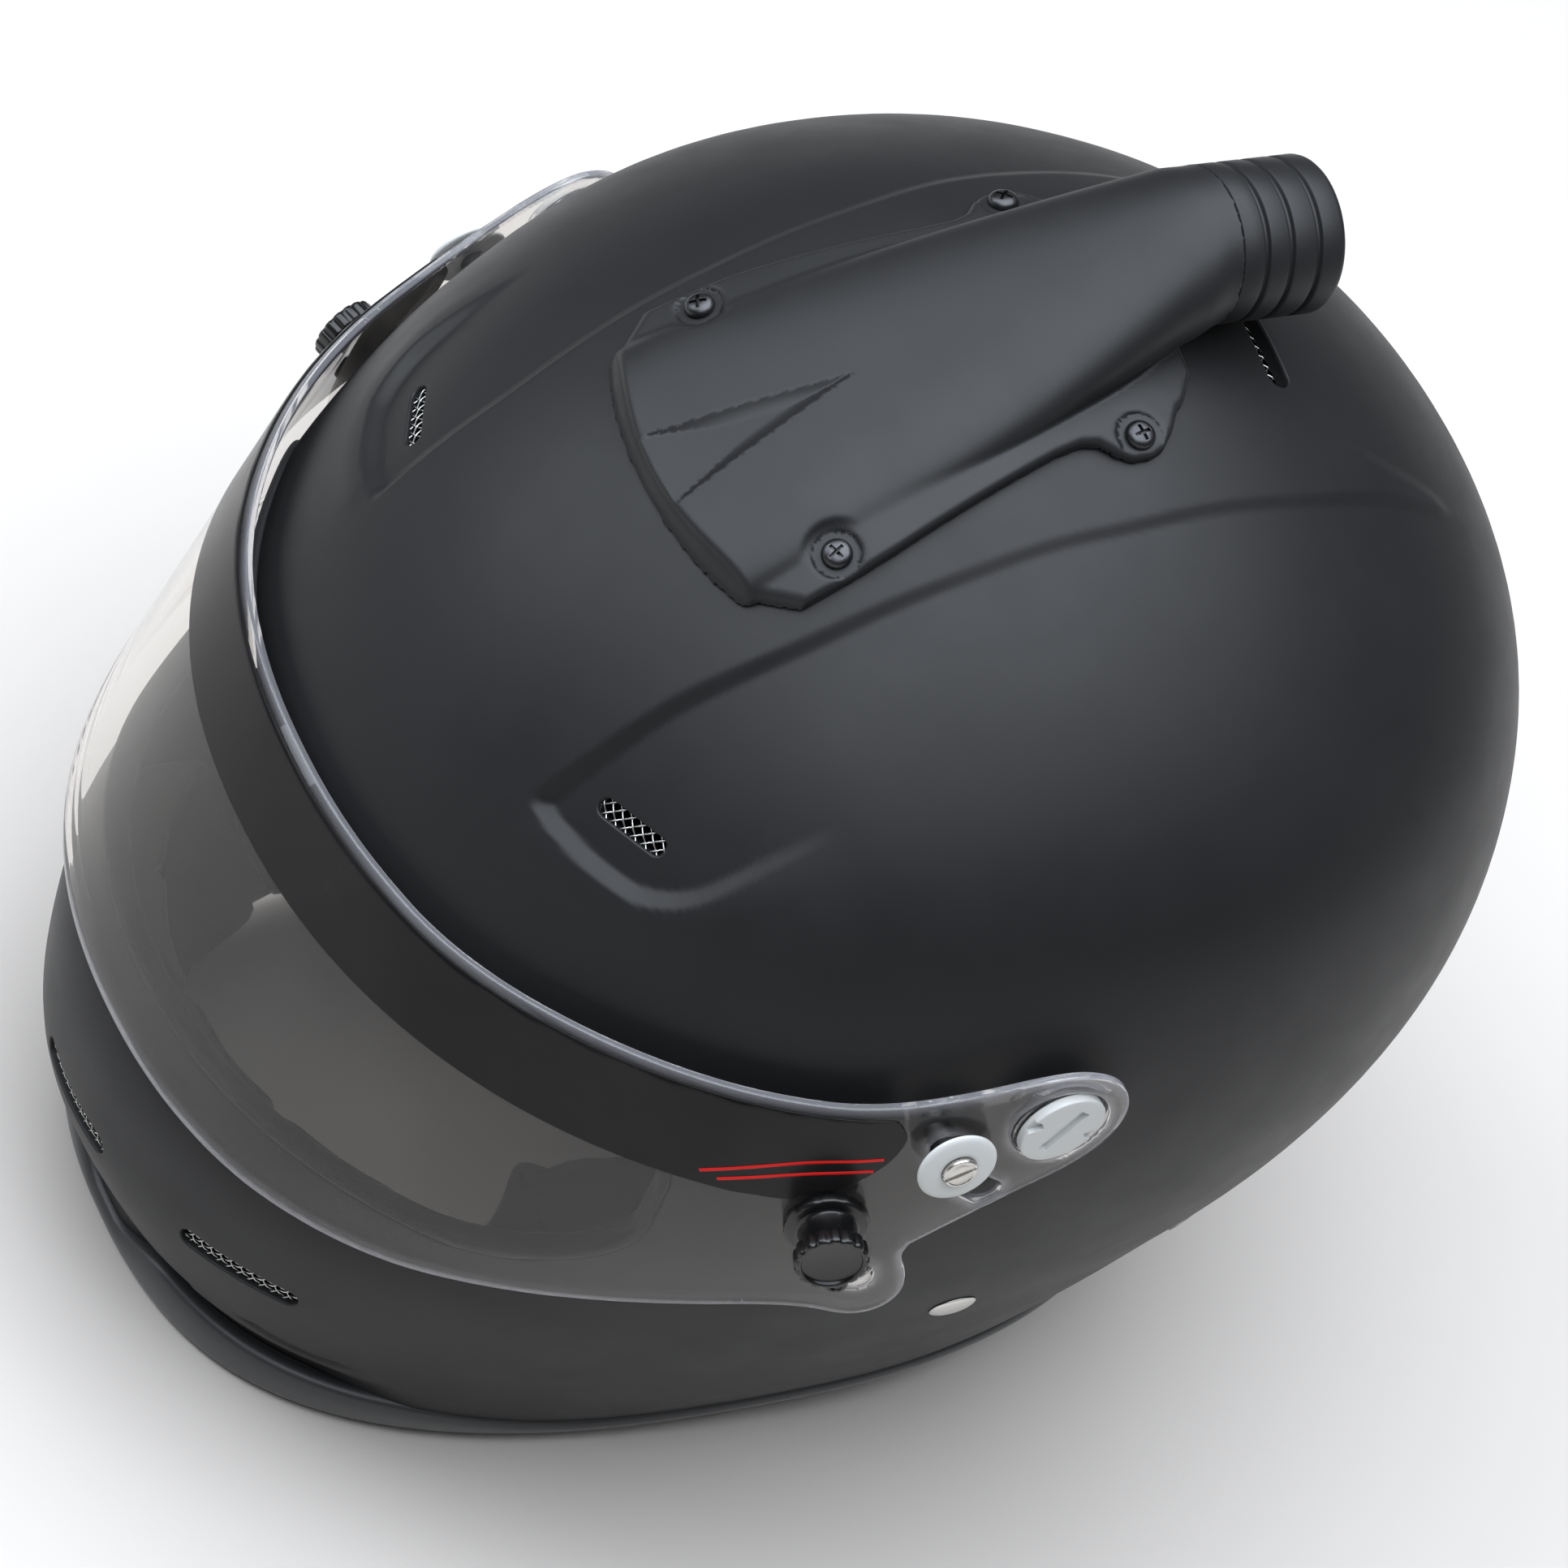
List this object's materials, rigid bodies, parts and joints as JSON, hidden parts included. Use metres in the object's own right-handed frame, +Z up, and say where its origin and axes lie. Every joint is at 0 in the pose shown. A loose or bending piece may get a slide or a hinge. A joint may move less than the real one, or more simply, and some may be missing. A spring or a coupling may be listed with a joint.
{
  "type": "auto racing helmet",
  "caption": "Full-face auto racing helmet with a forced-air crown scoop and hose nozzle, lifting clear visor, vents, padding, chin strap and restraint anchors.",
  "frame": {"origin": "on the surface that the helmet stands on, under the middle of its box", "axes": "+Z up, -Y the wearer's front, +X the wearer's left; the nozzle points along +Y"},
  "size_m": [0.2696, 0.3113, 0.3064],
  "materials": {
    "shell_coat": "matte",
    "scoop_plastic": "matte",
    "edge_rubber": "satin",
    "gasket_rubber": "matte",
    "liner_foam": "matte",
    "lining_cloth": "matte",
    "clear_visor": "gloss",
    "strip_film": "satin",
    "post_plastic": "satin",
    "pivot_plastic": "satin",
    "bush_plastic": "satin",
    "steel_screw": "satin",
    "black_screw": "satin",
    "rivet_metal": "satin",
    "steel_mesh": "satin",
    "insert_steel": "satin",
    "strap_webbing": "matte"
  },
  "bodies": {
    "shell": {"outer_shell": "shell_coat", "edge_trim": "edge_rubber", "eyeport_gasket": "gasket_rubber", "eps_liner": "liner_foam", "comfort_liner": "lining_cloth", "cheek_pad_left": "lining_cloth", "cheek_pad_right": "lining_cloth", "chin_bar_pad": "liner_foam", "neck_roll": "lining_cloth", "pivot_bushes": "bush_plastic", "pivot_screws": "pivot_plastic", "limiter_screws": "steel_screw", "limiter_washers": "pivot_plastic", "limiter_bosses": "bush_plastic", "detent_pegs": "bush_plastic", "strap_rivets": "rivet_metal", "chin_vent_meshes": "steel_mesh", "brow_vent_meshes": "steel_mesh", "rear_vent_mesh": "steel_mesh", "air_scoop": "scoop_plastic", "scoop_nozzle": "scoop_plastic", "scoop_screws": "black_screw", "scoop_nuts": "insert_steel", "anchor_inserts": "insert_steel", "chin_strap_left": "strap_webbing", "chin_strap_right": "strap_webbing"},
    "visor": {"visor": "clear_visor", "sun_strip": "strip_film", "tear_off_posts": "post_plastic"},
    "ring_outer": {"d_ring_outer": "steel_screw"},
    "ring_inner": {"d_ring_inner": "steel_screw"}
  },
  "joints": [
    {"name": "visor_lift", "type": "hinge", "parent": "shell", "child": "visor", "pos_m": [0, -0.0129, 0.168], "axis": [-1, 0, 0], "range_deg": [0, 45]},
    {"name": "ring_swing_outer", "type": "hinge", "parent": "shell", "child": "ring_outer", "pos_m": [0.063, -0.0008, 0.0265], "axis": [0, 1, 0], "range_deg": [-40, 40]},
    {"name": "ring_swing_inner", "type": "hinge", "parent": "shell", "child": "ring_inner", "pos_m": [0.057, -0.0008, 0.0265], "axis": [0, 1, 0], "range_deg": [-40, 40]}
  ],
  "couplings": [
    {"joint": "ring_swing_inner", "follows": "ring_swing_outer", "ratio": 1}
  ]
}
